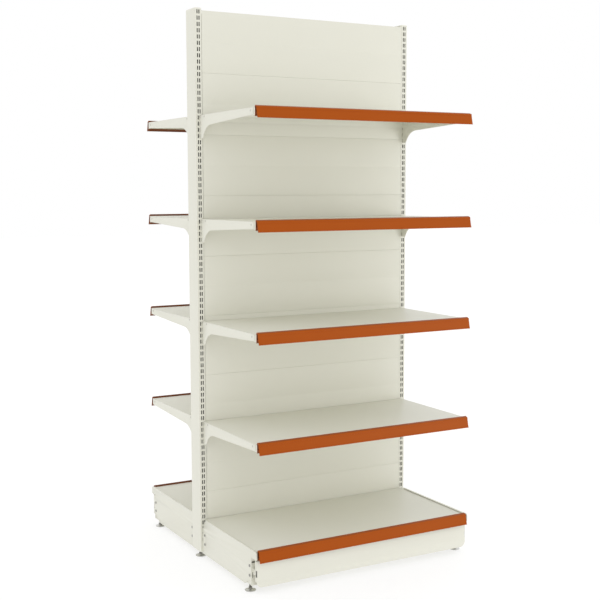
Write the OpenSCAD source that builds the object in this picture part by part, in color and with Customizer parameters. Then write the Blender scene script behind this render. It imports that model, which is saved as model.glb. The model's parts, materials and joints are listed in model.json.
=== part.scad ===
// Double-sided gondola shelving: two slotted posts, back panels on both faces, and a base deck
// and four shelves on each side. Millimetres, +Z up, front face towards -Y, origin on the floor
// under the middle of the bay.

/* [Bay] */
// Length of the shelves, decks and ticket strips
shelf_length = 1000; // [600:50:1250]
// Shelf levels on each side, without the base deck
shelf_levels = 4; // [1:1:4]
// Slot that takes the top hook of the lowest shelf, counted up from the lowest slot
lowest_shelf_slot = 20; // [12:1:24]
// Slots between one shelf and the next
shelf_step_slots = 17; // [10:1:18]

/* [Posts] */
// Width of a post along the bay
post_w = 30; // [28:1:40]
// Depth of a post from the front face to the rear face
post_d = 90; // [70:5:110]
// Wall of the post tube
post_wall = 2; // [1.5:0.1:2.5]
// Outer corner radius of the post tube
post_corner_r = 1.9; // [0.5:0.1:2.5]
// Height of the post's lower end above the floor
post_bottom = 30; // [26:1:36]
// Height of the post's top end above the top panel
post_above_panel = 5; // [3:1:20]
// Distance between two slots of a column
slot_pitch = 25; // [24:0.5:30]
// Width of a slot
slot_w = 4.5; // [3.5:0.1:4.5]
// Height of a slot
slot_h = 17; // [15:0.5:18]
// Distance of each slot column from the middle of the post
column_offset = 4.25; // [4.25:0.25:7]
// Height of the middle of the lowest slot above the floor
first_slot_z = 84; // [80:1:90]
// Least distance from the middle of the top slot to the end of the post
slot_end_margin = 10.5; // [10:0.5:20]
// Height of the cap above the post's end
cap_h = 5; // [3.5:0.5:8]
// Height of the cap's upright edge
cap_edge_h = 3; // [1:0.5:3]
// Cut-off edge of the cap's top
cap_inset = 2; // [1:0.5:4]
// Depth of the cap's plug inside the post
cap_plug = 2; // [1:0.5:2]
// Gap round that plug
cap_gap = 0.3; // [0.2:0.1:0.5]

/* [Panels] */
// Rows of back panels
panel_rows = 9; // [9:1:10]
// Height of one panel row
panel_h = 250; // [245:5:270]
// Height of the lowest panel edge above the floor
panel_bottom = 40; // [36:1:48]
// Sheet of the panels
panel_t = 1; // [0.7:0.1:1.5]
// Depth of the folded edges of a panel
panel_fold = 12; // [8:1:16]
// Depth of the crease along the middle of a panel
crease_depth = 0.5; // [0.2:0.1:0.6]
// Half the width of that crease
crease_half = 1.5; // [1:0.1:3]
// Cut-off front edges of a panel
panel_edge = 0.8; // [0.3:0.1:0.8]
// Gap between one panel row and the next
panel_seam = 0.4; // [0.2:0.1:0.8]
// Gap between a panel's end and the post
panel_end_gap = 0.3; // [0.1:0.05:0.6]
// Height of the tie beams between the posts
beam_h = 50; // [30:5:60]
// Depth of the tie beams between the posts
beam_d = 30; // [20:5:40]
// Wall of the tie beams
beam_wall = 1.5; // [1:0.1:2.5]
// Distance of the outer beams from the panels' top and bottom edges
beam_from_end = 20; // [10:5:40]

/* [Shelves] */
// Distance from the post face to the front face of a shelf tray
shelf_depth = 490; // [300:1:550]
// Sheet of the trays and decks
tray_t = 1.2; // [0.8:0.1:1.5]
// Gap between a tray's rear edge and the panels
tray_rear_gap = 2; // [1:0.5:4]
// Gap between a tray's end and the bracket beside it
tray_end_gap = 0.25; // [0.2:0.05:0.5]
// Height of a tray's front lip
lip_h = 31; // [28:1:34]
// Height of a tray's side and rear folds
tray_fold_h = 28; // [24:1:30]
// Width of the stiffener under a tray
stiffener_w = 60; // [30:5:90]
// Height of the stiffener under a tray
stiffener_h = 18; // [10:1:22]
// Distance of the stiffener's ends from the tray's ends
stiffener_in = 20; // [10:5:60]
// Radius of a tray's long edges
tray_edge_r = 2; // [1.6:0.1:3]

/* [Brackets] */
// Plate of the shelf brackets
bracket_t = 2.5; // [2:0.1:3]
// Height of a bracket at the post
bracket_root_h = 96; // [90:1:104]
// Height of a bracket where its root fillet ends
bracket_shoulder_h = 44; // [38:1:48]
// Distance of that place from the post face
bracket_shoulder = 100; // [92:1:108]
// Radius of the root fillet
bracket_fillet_r = 85; // [78:1:90]
// Height of a bracket at its front end
bracket_nose_h = 27; // [23:1:32]
// Distance of the bracket's front end behind the tray's front face
bracket_set_back = 10; // [8:1:20]
// Radius of the bracket's front corners
bracket_corner_r = 5; // [2:0.5:8]
// Height of the bracket's top edge above its top hook
bracket_above_hook = 11.5; // [4:0.5:12]
// Hooks of one bracket
hooks = 3; // [2:1:3]
// Height of a hook's neck
hook_h = 8; // [6:0.5:8.5]
// Depth of a hook's nose below its neck
hook_drop = 5; // [3:0.5:6]
// Thickness of a hook's nose
hook_nose = 4; // [3:0.5:5]
// Gap between a hook's nose and the post's wall
hook_gap = 0.3; // [0.2:0.05:0.6]
// Radius of the pins that carry a tray
pin_r = 3; // [2:0.25:4]
// Length of a pin inside its bracket
pin_reach = 6; // [4:0.5:8]
// Radius of a pin's rivet head
pin_head_r = 4; // [4:0.25:6]
// Height of a pin's rivet head
pin_head_h = 0.8; // [0.5:0.1:1.5]
// Gap round a pin in the tray's notch
pin_gap = 0.3; // [0.2:0.05:0.5]
// Distance of the rear pin from the post face
rear_pin_out = 43; // [30:1:60]
// Distance of the rear pin below the tray's surface
rear_pin_drop = 8; // [7:0.5:10]
// Distance of the front pin behind the tray's front face
front_pin_in = 30; // [24:1:50]
// Distance of the front pin below the tray's surface
front_pin_drop = 11; // [8:0.5:13]

/* [Ticket strips] */
// Height of a ticket strip
strip_h = 44; // [42:0.5:50]
// Height of a strip's front top edge above the shelf surface
strip_rise = 5; // [3:0.5:8]
// Height of its back top edge above the front one
strip_back_rise = 3; // [0:0.5:4]
// Depth of a strip at its top
strip_top_d = 12; // [9:0.5:16]
// Depth of a strip at its bottom
strip_bottom_d = 22; // [17:0.5:26]
// Height of the hollow upper part
strip_channel_h = 28; // [20:0.5:32]
// Wall of a strip
strip_wall = 1.5; // [1:0.1:2]
// Radius of a strip's top front edge
strip_edge_r = 4; // [2:0.5:5]
// Length of a strip's nib on the tray
strip_nib = 5; // [3:0.5:8]
// Thickness of that nib
strip_nib_t = 1; // [0.8:0.1:1.5]
// Rise of a strip's hook behind the lip
strip_hook_rise = 3; // [1:0.5:5]
// Gap between a strip's hook and the lip's lower edge
strip_gap = 0.3; // [0.2:0.05:0.5]
// Distance of a strip's ends from the shelf's ends
strip_in = 1; // [0.5:0.5:5]

/* [Base] */
// Distance from the post face to the front face of a base deck
deck_depth = 488; // [350:1:650]
// Height of a base deck's surface above the floor
deck_z = 171; // [168:1:185]
// Height of the leg's top edge above the deck's surface
leg_rise = 3.5; // [1:0.5:6]
// Height of the legs' lower edge above the floor
leg_bottom = 24; // [20:1:28]
// Plate of the legs and foot brackets
leg_t = 2.5; // [2:0.1:3]
// Height of the ledge that a deck stands on
ledge_z = 146; // [143:0.5:148]
// Width of that ledge
ledge_w = 20; // [15:1:40]
// Gap between the deck's end and the leg's top fold
deck_end_gap = 0.5; // [0.3:0.1:1]
// Depth of the slanting step in the leg's plate
leg_step = 2; // [1:0.25:2.5]
// Height of that step below the ledge
leg_step_h = 22; // [12:1:24]
// Height of the kick plates' top edge above the floor
kick_top = 135; // [130:1:136]
// Sheet of the kick plates
kick_t = 1.2; // [0.8:0.1:1.5]
// Lift that a kick plate has on its tongues
kick_lift = 3; // [1:0.5:3]
// Radius of the bolts' shanks
bolt_r = 4; // [3:0.25:4.5]
// Gap round a bolt's shank
bolt_gap = 0.3; // [0.2:0.05:0.6]
// Radius of the bolts' heads
bolt_head_r = 6.5; // [5.5:0.25:7.5]
// Height of the bolts' heads
bolt_head_h = 2.5; // [1.5:0.25:4]

/* [Leg details] */
// Cut-off corner of a leg behind the post's top
leg_corner = 26; // [20:1:30]
// Radius of a leg's top front corner
leg_nose_r = 10; // [4:1:14]
// Distance of a leg's nose in front of the deck
leg_nose_out = 9; // [7:0.5:12]
// Depth of a leg's nose below the ledge
leg_nose_drop = 4; // [2:0.5:4]
// Distance of a leg's lower front end behind the deck's front
leg_end_back = 34; // [30:1:36]
// Distance of the cut in a leg's lower edge behind the deck's front
leg_cut_back = 84; // [80:1:90]
// Length of that cut
leg_cut_l = 35; // [30:1:36]
// Height of that cut
leg_cut_h = 25; // [22:1:30]
// Distance of the end of a leg's top fold behind the deck's front
leg_fold_back = 8; // [7:1:20]
// Distance of the end of a leg's bottom fold behind the cut
leg_low_fold_back = 14; // [4:1:30]
// Distance of the notch in a leg's top edge from the post face
leg_notch_out = 200; // [80:5:220]
// Width of that notch
leg_notch_w = 6; // [4:1:8]
// Depth of that notch
leg_notch_h = 2.5; // [1:0.5:2.5]
// Distance of the ledge's rear end from the post face
ledge_out = 14; // [8:1:30]
// Plate behind the rear bolts, and under each foot's nut
doubler_t = 3; // [2:0.5:3.5]
// Distance of that plate's near edge from the post face
doubler_near = 5; // [3:1:8]
// Distance of its far edge from the post face
doubler_far = 42; // [38:1:50]
// Distance of its top and bottom edges from the bolts
doubler_margin = 14; // [10:1:16]
// Height of the lower bolts above the floor
bolt_low_z = 69; // [67:1:74]
// Height of the upper bolts above the floor
bolt_high_z = 108; // [100:1:112]
// Distance of the rear bolts from the post face
rear_bolt_out = 21; // [18:1:26]
// Distance of the front bolts behind the deck's front
front_bolt_back = 44; // [43:0.5:46]
// Height of the bolts' nuts
nut_h = 5; // [3:0.5:6]

/* [Foot bracket details] */
// Width of a foot bracket's front plate
foot_plate_w = 27; // [26:1:30]
// Height of its lower edge above the floor
foot_plate_low = 30; // [27:1:34]
// Gap between its upper edge and the leg's nose
foot_plate_gap = 1; // [0.5:0.5:3]
// Length of its side flange along the leg
foot_flange_l = 38; // [34:1:40]
// Gap between the side flange's top edge and the leg's step
foot_flange_gap = 2; // [1:0.5:4]
// Distance of the level slot's middle from the front plate's outer edge
key_slot_in = 11.5; // [11.5:0.5:12.5]
// Height of the level slot's middle above the floor
key_slot_z = 124; // [120:1:128]
// Length of the level slot
key_slot_l = 19; // [14:1:20]
// Height of the level slot
key_slot_h = 7; // [4:0.5:8]
// Width of the upright window beside the flange
window_w = 3.5; // [2:0.5:3.5]
// Height of that window's lower end above the floor
window_low = 59; // [52:1:66]
// Height of that window
window_h = 25; // [16:1:28]
// Distance of the tongue's rear face behind the kick plate's face
tongue_back = 10; // [9:0.5:10]
// Thickness of the tongue
tongue_t = 2.5; // [2:0.5:3]
// Height of the tongue's lower edge above the floor
tongue_low = 75; // [72:1:80]
// Height of the tongue
tongue_h = 23; // [18:1:24]
// Length of the tongue past the kick plate's end
tongue_out = 1; // [0.5:0.5:1.5]
// Gap between the tongue's arm and the kick plate's end fold
arm_gap = 0.5; // [0.3:0.1:0.8]
// Height of the foot's plate above the floor
nut_plate_z = 36; // [35:0.5:37]
// Distance of that plate's edges from the foot's middle
nut_plate_reach = 14; // [12:1:15]
// Radius of the foot's nut across its corners
foot_nut_r = 9.2; // [8:0.1:9.4]
// Height of the foot's nut
foot_nut_h = 8; // [5:0.5:8]

/* [Kick plate details] */
// Length of a kick plate past the shelf's end
kick_over = 4; // [2:0.5:4.5]
// Height of its lower edge above the floor
kick_bottom = 29; // [24:1:34]
// Distance of its face in front of the deck
kick_out = 1; // [0:0.5:3]
// Depth of its top and bottom folds
kick_fold = 12; // [8:1:14]
// Depth of its end folds
kick_end_fold = 14; // [13:1:15]
// Radius of its lower corners
kick_corner_r = 24; // [10:1:28]
// Gap round the tongue in a kick plate's hole
kick_hole_gap = 0.3; // [0.2:0.05:0.5]
// Width of that hole in the plate's face
kick_hole_w = 2.5; // [2:0.5:4]

/* [Feet] */
// Radius of a foot's pad
pad_r = 22; // [16:0.5:26]
// Height of a pad with its cone
pad_h = 8; // [6:0.5:11]
// Height of a pad's upright edge
pad_edge_h = 3; // [1:0.5:5]
// Radius of a foot's collar across its corners
screw_collar_r = 8; // [7:0.5:10]
// Height of a foot's collar
screw_collar_h = 6; // [3:0.5:8]
// Radius of a foot's screw
screw_r = 5; // [4:0.25:6]
// Running clearance of the screw in its nut
screw_gap = 0.05; // [0.02:0.01:0.09]
// Height of the screw's top end above the floor
screw_top = 64; // [60:1:75]
// Distance of a post's foot from the middle of the post, towards the bay
mid_foot_in = 4; // [0:0.5:4]
// Distance of an outer foot from the middle of the post, towards the bay
outer_foot_in = 7; // [6:0.5:10]
// Distance of an outer foot behind the deck's front face
outer_foot_back = 64; // [50:1:68]

/* [Hidden] */
$fn = 48;
// Faces that are cut run this far past the solid, and joined pieces sink this far into each other
over = 1;
weld = 0.5;

post_face = post_d / 2;
bracket_x = shelf_length / 2 + tray_end_gap;
post_x = bracket_x + bracket_t / 2 + column_offset;
post_inner_x = post_x - post_w / 2;
leg_x = post_x + column_offset - leg_t / 2;
leg_outer_x = leg_x + leg_t;
leg_upper_x = leg_x - leg_step;
panel_top = panel_bottom + panel_rows * panel_h;
post_top = panel_top + post_above_panel;
slot_count = floor((post_top - slot_end_margin - first_slot_z) / slot_pitch) + 1;

// The tray's surface and the bracket's top edge lie this far above the middle of the top hook's slot
tray_above_slot = hook_h - slot_h / 2 + bracket_above_hook;
tray_front = post_face + shelf_depth;
tray_rear = post_face + tray_rear_gap;

deck_front = post_face + deck_depth;
leg_top = deck_z + leg_rise;
leg_fold_x = shelf_length / 2 + deck_end_gap;
leg_hook_slots = [1, 2];
leg_nose_end = deck_front + leg_nose_out;
leg_nose_z = ledge_z - leg_nose_drop;
leg_end = deck_front - leg_end_back;
leg_cut_start = deck_front - leg_cut_back;
leg_cut_end = leg_cut_start + leg_cut_l;
flange_x = leg_x - leg_t;
kick_half = shelf_length / 2 + kick_over;
kick_front = deck_front + kick_out;
tongue_y = kick_front - tongue_back;
arm_x = kick_half - kick_t - arm_gap - leg_t;

ivory = [0.93, 0.92, 0.86];
strip_orange = [0.69, 0.33, 0.11];
zinc = [0.62, 0.62, 0.6];

SIDES = [["front", -1], ["rear", 1]];
ENDS = [["left", -1], ["right", 1]];
FOOT_ROWS = [["front", -1], ["middle", 0], ["rear", 1]];

function level_name(n) = n == 0 ? "base" : str("shelf_", n);
function tray_z(n) = n == 0 ? deck_z
    : first_slot_z + (lowest_shelf_slot + (n - 1) * shelf_step_slots) * slot_pitch + tray_above_slot;
function name2(a, b) = str(a, "_", b);
function name3(a, b, c) = str(a, "_", b, "_", c);

// Points along an arc, from one angle to another
function arc(centre, r, from, to, steps = 8) =
    [for (i = [0:steps]) let (a = from + (to - from) * i / steps) centre + r * [cos(a), sin(a)]];

// Puts what is drawn at the rear right at the chosen end and side of the bay
module at_quarter(side, end) {
    mirror([end < 0 ? 1 : 0, 0, 0]) mirror([0, side < 0 ? 1 : 0, 0]) children();
}

// Runs an outline of [depth, height] points along the bay, from x over a length
module along_bay(x, length, outline) {
    translate([x, 0, 0]) rotate([90, 0, 90]) linear_extrude(length) polygon(outline);
}

// Box between two corners
module box(low, high) {
    translate(low) cube(high - low);
}

// Upright bar with rounded corners, from z over a height, centred at x
module round_bar(x, z, w, d, h, r) {
    box([x - w / 2 + r, -d / 2, z], [x + w / 2 - r, d / 2, z + h]);
    box([x - w / 2, -d / 2 + r, z], [x + w / 2, d / 2 - r, z + h]);
    for (i = [-1, 1], j = [-1, 1])
        translate([x + i * (w / 2 - r), j * (d / 2 - r), z]) cylinder(r = r, h = h);
}

// Post tube with its slots, and the plate and nut of its foot
module upright() {
    inner_w = post_w - 2 * post_wall;
    inner_d = post_d - 2 * post_wall;
    foot_x = post_x - mid_foot_in;
    color(ivory) difference() {
        union() {
            difference() {
                round_bar(post_x, post_bottom, post_w, post_d, post_top - post_bottom, post_corner_r);
                box([post_x - inner_w / 2, -inner_d / 2, post_bottom - over],
                    [post_x + inner_w / 2, inner_d / 2, post_top + over]);
                for (column = [-1, 1], row = [0:slot_count - 1])
                    translate([post_x + column * column_offset, 0, first_slot_z + row * slot_pitch])
                        cube([slot_w, post_d + 2 * over, slot_h], center = true);
            }
            box([post_x - inner_w / 2 - weld, -inner_d / 2 - weld, post_bottom],
                [post_x + inner_w / 2 + weld, inner_d / 2 + weld, post_bottom + doubler_t]);
            translate([foot_x, 0, post_bottom + doubler_t - weld]) rotate(30)
                cylinder(r = foot_nut_r, h = foot_nut_h + weld, $fn = 6);
        }
        translate([foot_x, 0, post_bottom - over])
            cylinder(r = screw_r + screw_gap, h = doubler_t + foot_nut_h + 2 * over);
    }
}

// Cap with a chamfered top and a short plug
module upright_cap() {
    color(ivory) {
        round_bar(post_x, post_top, post_w, post_d, cap_edge_h, post_corner_r);
        round_bar(post_x, post_top, post_w - 2 * cap_inset, post_d - 2 * cap_inset, cap_h, post_corner_r);
        round_bar(post_x, post_top - cap_plug, post_w - 2 * (post_wall + cap_gap),
            post_d - 2 * (post_wall + cap_gap), cap_plug + weld, post_corner_r);
    }
}

// Two-sided box beams between the posts, at the bottom, middle and top
module tie_beams() {
    low = panel_bottom + beam_from_end;
    high = panel_top - beam_from_end - beam_h;
    color(ivory) for (z = [low, (low + high) / 2, high]) difference() {
        box([-post_inner_x, -beam_d / 2, z], [post_inner_x, beam_d / 2, z + beam_h]);
        box([-post_inner_x - over, -beam_d / 2 + beam_wall, z + beam_wall],
            [post_inner_x + over, beam_d / 2 - beam_wall, z + beam_h - beam_wall]);
    }
}

// One panel: a sheet with folded top and bottom edges and a crease at mid height
module panel(z) {
    f = post_face;
    h = panel_h - panel_seam;
    b = post_face - panel_fold;
    end = post_inner_x - panel_end_gap;
    outline = [
        [b, 0], [f - panel_edge, 0], [f, panel_edge],
        [f, h / 2 - crease_half], [f - crease_depth, h / 2], [f, h / 2 + crease_half],
        [f, h - panel_edge], [f - panel_edge, h], [b, h],
        [b, h - panel_t], [f - panel_t, h - panel_t], [f - panel_t, panel_t], [b, panel_t]
    ];
    translate([0, 0, z]) along_bay(-end, 2 * end, outline);
}

module panels() {
    color(ivory) for (row = [0:panel_rows - 1]) panel(panel_bottom + row * panel_h);
}

// Hook on a plate at x: its neck rests on the slot's lower edge, its nose drops behind the wall
module hook(x, t, slot_z) {
    tip = post_face - post_wall - hook_gap - hook_nose;
    rest_z = slot_z - slot_h / 2;
    box([x, tip, rest_z], [x + t, post_face + over, rest_z + hook_h]);
    box([x, tip, rest_z - hook_drop], [x + t, tip + hook_nose, rest_z + weld]);
}

// Side outline of a bracket, measured from the post face and from its top edge
function bracket_outline() = let (
    reach = shelf_depth - bracket_set_back,
    shoulder = [bracket_shoulder, -bracket_shoulder_h],
    tilt = atan2(bracket_shoulder_h - bracket_nose_h, reach - bracket_shoulder),
    centre = shoulder + bracket_fillet_r * [sin(tilt), -cos(tilt)],
    root_angle = 180 - asin((-bracket_root_h - centre[1]) / bracket_fillet_r),
    r = bracket_corner_r
) concat(
    [[0, 0], [0, -bracket_root_h]],
    arc(centre, bracket_fillet_r, root_angle, 90 + tilt, 16),
    arc([reach - r, r - bracket_nose_h], r, tilt - 90, 0),
    arc([reach - r, -r], r, 0, 90)
);

// Pin through a bracket, with its rivet head outside
module tray_pin(y, z) {
    translate([bracket_x - pin_reach, y, z]) rotate([0, 90, 0]) {
        cylinder(r = pin_r, h = pin_reach + bracket_t);
        translate([0, 0, pin_reach + bracket_t - weld]) cylinder(r = pin_head_r, h = pin_head_h + weld);
    }
}

module bracket(n) {
    color(ivory) translate([0, 0, tray_z(n)]) {
        translate([0, post_face, 0]) along_bay(bracket_x, bracket_t, bracket_outline());
        for (i = [0:hooks - 1]) hook(bracket_x, bracket_t, -tray_above_slot - i * slot_pitch);
        tray_pin(post_face + rear_pin_out, -rear_pin_drop);
        tray_pin(tray_front - front_pin_in, -front_pin_drop);
    }
}

// Cross section of a folded tray: rear fold, surface and front lip
function tray_outline(front, fold_h) = let (r = tray_edge_r, t = tray_t) concat(
    [[tray_rear, -fold_h]],
    arc([tray_rear + r, -r], r, 180, 90),
    arc([front - r, -r], r, 90, 0),
    [[front, -lip_h], [front - t, -lip_h], [front - t, -t], [tray_rear + t, -t], [tray_rear + t, -fold_h]]
);

// Folded tray with side folds and a stiffener channel, its surface at z = 0
module folded_tray(front, fold_h) {
    half = shelf_length / 2;
    middle = (tray_rear + front) / 2;
    s = tray_t;
    channel = [
        [middle - stiffener_w / 2, -weld], [middle - stiffener_w / 2, -stiffener_h],
        [middle + stiffener_w / 2, -stiffener_h], [middle + stiffener_w / 2, -weld],
        [middle + stiffener_w / 2 - s, -weld], [middle + stiffener_w / 2 - s, s - stiffener_h],
        [middle - stiffener_w / 2 + s, s - stiffener_h], [middle - stiffener_w / 2 + s, -weld]
    ];
    along_bay(-half, 2 * half, tray_outline(front, fold_h));
    along_bay(-half + stiffener_in, 2 * (half - stiffener_in), channel);
    for (end = [-1, 1]) mirror([end < 0 ? 1 : 0, 0, 0])
        box([half - tray_t, tray_rear + tray_t - weld, -fold_h],
            [half, front - tray_t + weld, -tray_t + weld]);
}

// Notch in the tray's side fold, open at the bottom, that drops over a pin
module pin_notch(y, z) {
    r = pin_r + pin_gap;
    x = shelf_length / 2 - tray_t - over;
    translate([x, y, z]) rotate([0, 90, 0]) cylinder(r = r, h = tray_t + 2 * over);
    box([x, y - r, -tray_fold_h - over], [x + tray_t + 2 * over, y + r, z]);
}

module tray(n) {
    color(ivory) translate([0, 0, tray_z(n)]) difference() {
        folded_tray(tray_front, tray_fold_h);
        for (end = [-1, 1]) mirror([end < 0 ? 1 : 0, 0, 0]) {
            pin_notch(post_face + rear_pin_out, -rear_pin_drop);
            pin_notch(tray_front - front_pin_in, -front_pin_drop);
        }
    }
}

module base_deck() {
    color(ivory) translate([0, 0, deck_z]) folded_tray(deck_front, deck_z - ledge_z);
}

// Depth of the strip's leaning face, measured down from its top edge
function strip_face(down) = strip_top_d + (strip_bottom_d - strip_top_d) * down / strip_h;

// Cross section of a strip, measured from the lip's front face and from the strip's front top edge
function strip_outline() = let (
    w = strip_wall,
    r = strip_edge_r,
    lip_low = strip_rise + lip_h,
    hook_low = lip_low + strip_gap + w,
    hook_in = -tray_t - strip_gap
) concat(
    [[0, strip_back_rise]],
    arc([strip_face(r) - r, -r], r, 90, 0),
    [
        [strip_face(strip_h), -strip_h], [strip_face(strip_h) - w, -strip_h],
        [strip_face(strip_channel_h) - w, -strip_channel_h], [w, -strip_channel_h],
        [w, -hook_low], [hook_in - w, -hook_low], [hook_in - w, strip_hook_rise - lip_low],
        [hook_in, strip_hook_rise - lip_low], [hook_in, -lip_low - strip_gap], [0, -lip_low - strip_gap],
        [0, -strip_rise], [-strip_nib, -strip_rise], [-strip_nib, strip_nib_t - strip_rise],
        [0, strip_nib_t - strip_rise]
    ]
);

// Hollow of a strip's upper part
function strip_hollow() = let (w = strip_wall, low = strip_channel_h - strip_wall) [
    [w, -w], [strip_face(w) - strip_edge_r, -w], [strip_face(strip_edge_r) - w, -strip_edge_r],
    [strip_face(low) - w, -low], [w, -low]
];

module ticket_strip(n) {
    half = shelf_length / 2 - strip_in;
    front = n == 0 ? deck_front : tray_front;
    color(strip_orange) translate([0, front, tray_z(n) + strip_rise]) difference() {
        along_bay(-half, 2 * half, strip_outline());
        along_bay(-half - over, 2 * (half + over), strip_hollow());
    }
}

// Section of a leg's plate across the bay: its upper part steps in, towards the deck
function leg_section() = [
    [leg_x, 0], [leg_outer_x, 0], [leg_outer_x, ledge_z - leg_step_h], [leg_upper_x + leg_t, ledge_z],
    [leg_upper_x + leg_t, leg_top + over], [leg_upper_x, leg_top + over], [leg_upper_x, ledge_z],
    [leg_x, ledge_z - leg_step_h]
];

// Side outline of a base leg
function leg_outline() = [
    [post_face, leg_bottom], [leg_cut_start, leg_bottom], [leg_cut_end, leg_bottom + leg_cut_h],
    [leg_end, leg_bottom + leg_cut_h], [leg_end, leg_nose_z], [leg_nose_end, leg_nose_z],
    each arc([leg_nose_end - leg_nose_r, leg_top - leg_nose_r], leg_nose_r, 0, 90),
    [post_face + leg_corner, leg_top], [post_face, leg_top - leg_corner]
];

// Places of the bolts on the leg's outer face: depth and height of each, with its grip
function bolt_places() = [
    for (z = [bolt_low_z, bolt_high_z]) each [
        [leg_outer_x, post_face + rear_bolt_out, z, leg_t + doubler_t],
        [leg_outer_x, deck_front - front_bolt_back, z, 2 * leg_t]
    ]
];

module bolt_holes() {
    for (b = bolt_places())
        translate([leg_x - doubler_t - over, b[1], b[2]]) rotate([0, 90, 0])
            cylinder(r = bolt_r + bolt_gap, h = doubler_t + leg_t + 2 * over);
}

// Base leg: a plate with folded edges, the deck's ledge, a doubler and two hooks
module base_leg() {
    color(ivory) difference() {
        union() {
            intersection() {
                along_bay(leg_upper_x - over, leg_outer_x - leg_upper_x + 2 * over, leg_outline());
                translate([0, leg_nose_end + over, 0]) rotate([90, 0, 0])
                    linear_extrude(leg_nose_end + over) polygon(leg_section());
            }
            box([leg_fold_x, post_face + leg_corner, leg_top - leg_t],
                [leg_upper_x + weld, deck_front - leg_fold_back, leg_top]);
            box([leg_fold_x, post_face + doubler_near, leg_bottom],
                [leg_x + weld, leg_cut_start - leg_low_fold_back, leg_bottom + leg_t]);
            box([leg_upper_x - ledge_w, post_face + ledge_out, ledge_z - leg_t],
                [leg_upper_x + weld, leg_end, ledge_z]);
            box([leg_x - doubler_t, post_face + doubler_near, bolt_low_z - doubler_margin],
                [leg_x + weld, post_face + doubler_far, bolt_high_z + doubler_margin]);
            for (slot = leg_hook_slots) hook(leg_x, leg_t, first_slot_z + slot * slot_pitch);
        }
        box([leg_x - doubler_t, post_face + leg_notch_out, leg_top - leg_notch_h],
            [leg_outer_x + over, post_face + leg_notch_out + leg_notch_w, leg_top + over]);
        bolt_holes();
    }
}

// Bolt with its nut: the head's seat is at x, and the grip lies inside it
module bolt(x, y, z, grip) {
    translate([x, y, z]) rotate([0, 90, 0]) {
        cylinder(r = bolt_head_r, h = bolt_head_h);
        translate([0, 0, -grip - nut_h - bolt_head_h])
            cylinder(r = bolt_r, h = grip + nut_h + 2 * bolt_head_h - weld);
        translate([0, 0, -grip - nut_h]) cylinder(r = bolt_head_r, h = nut_h, $fn = 6);
    }
}

module leg_bolts() {
    color(zinc) for (side = [-1, 1], end = [-1, 1]) at_quarter(side, end)
        for (b = bolt_places()) bolt(b[0], b[1], b[2], b[3]);
}

// Foot bracket: a slotted front plate with a flange along the leg, an arm with the kick plate's
// tongue, and the plate and nut of the outer foot
module foot_bracket() {
    foot = [post_x - outer_foot_in, deck_front - outer_foot_back];
    slot_x = leg_outer_x - key_slot_in;
    color(ivory) difference() {
        union() {
            box([leg_outer_x - foot_plate_w, leg_end, foot_plate_low],
                [leg_outer_x, leg_end + leg_t, leg_nose_z - foot_plate_gap]);
            box([flange_x, leg_end - foot_flange_l, foot_plate_low],
                [leg_x, leg_end + weld, ledge_z - leg_step_h - foot_flange_gap]);
            box([arm_x, leg_end, tongue_low],
                [arm_x + leg_t, tongue_y + tongue_t, tongue_low + tongue_h]);
            box([arm_x, tongue_y, tongue_low],
                [kick_half + tongue_out, tongue_y + tongue_t, tongue_low + tongue_h]);
            box([foot[0] - nut_plate_reach, foot[1] - nut_plate_reach, nut_plate_z],
                [flange_x + weld, leg_end + weld, nut_plate_z + doubler_t]);
            translate([foot[0], foot[1], nut_plate_z + doubler_t - weld])
                rotate(30) cylinder(r = foot_nut_r, h = foot_nut_h + weld, $fn = 6);
        }
        translate([foot[0], foot[1], nut_plate_z - over])
            cylinder(r = screw_r + screw_gap, h = doubler_t + foot_nut_h + 2 * over);
        for (shift = [-1, 1])
            translate([slot_x + shift * (key_slot_l - key_slot_h) / 2, leg_end - over, key_slot_z])
                rotate([-90, 0, 0]) cylinder(r = key_slot_h / 2, h = leg_t + 2 * over);
        translate([slot_x, leg_end + leg_t / 2, key_slot_z])
            cube([key_slot_l - key_slot_h, leg_t + 2 * over, key_slot_h], center = true);
        box([flange_x - window_w, leg_end - over, window_low],
            [flange_x, leg_end + leg_t + over, window_low + window_h]);
        bolt_holes();
    }
}

// Front outline of a kick plate, with rounded lower corners
function kick_outline() = let (half = kick_half, r = kick_corner_r) concat(
    [[-half, kick_top]],
    arc([r - half, kick_bottom + r], r, 180, 270),
    arc([half - r, kick_bottom + r], r, 270, 360),
    [[half, kick_top]]
);

// Kick plate: a folded plate that hangs on the foot brackets' tongues, which reach through holes
// in its upright corners
module kick_plate() {
    half = kick_half;
    low_half = half - kick_corner_r - over;
    color(ivory) difference() {
        union() {
            translate([0, kick_front, 0]) rotate([90, 0, 0]) linear_extrude(kick_t) polygon(kick_outline());
            box([-half, kick_front - kick_fold, kick_top - kick_t],
                [half, kick_front - kick_t + weld, kick_top]);
            box([-low_half, kick_front - kick_fold, kick_bottom],
                [low_half, kick_front - kick_t + weld, kick_bottom + kick_t]);
            for (end = [-1, 1]) mirror([end < 0 ? 1 : 0, 0, 0])
                box([half - kick_t, kick_front - kick_end_fold, kick_bottom + kick_corner_r],
                    [half, kick_front - kick_t + weld, kick_top]);
        }
        for (end = [-1, 1]) mirror([end < 0 ? 1 : 0, 0, 0])
            box([half - kick_hole_w, tongue_y - kick_hole_gap, tongue_low - kick_lift - kick_hole_gap],
                [half + over, kick_front + over, tongue_low + tongue_h]);
    }
}

// Levelling foot: a low cone with a collar and a screw
module foot(x, y) {
    color(zinc) translate([x, y, 0]) {
        rotate_extrude() polygon([
            [0, 0], [pad_r, 0], [pad_r, pad_edge_h], [screw_collar_r, pad_h], [0, pad_h]
        ]);
        translate([0, 0, pad_h - weld]) cylinder(r = screw_collar_r, h = screw_collar_h + weld, $fn = 6);
        cylinder(r = screw_r, h = screw_top);
    }
}

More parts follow.
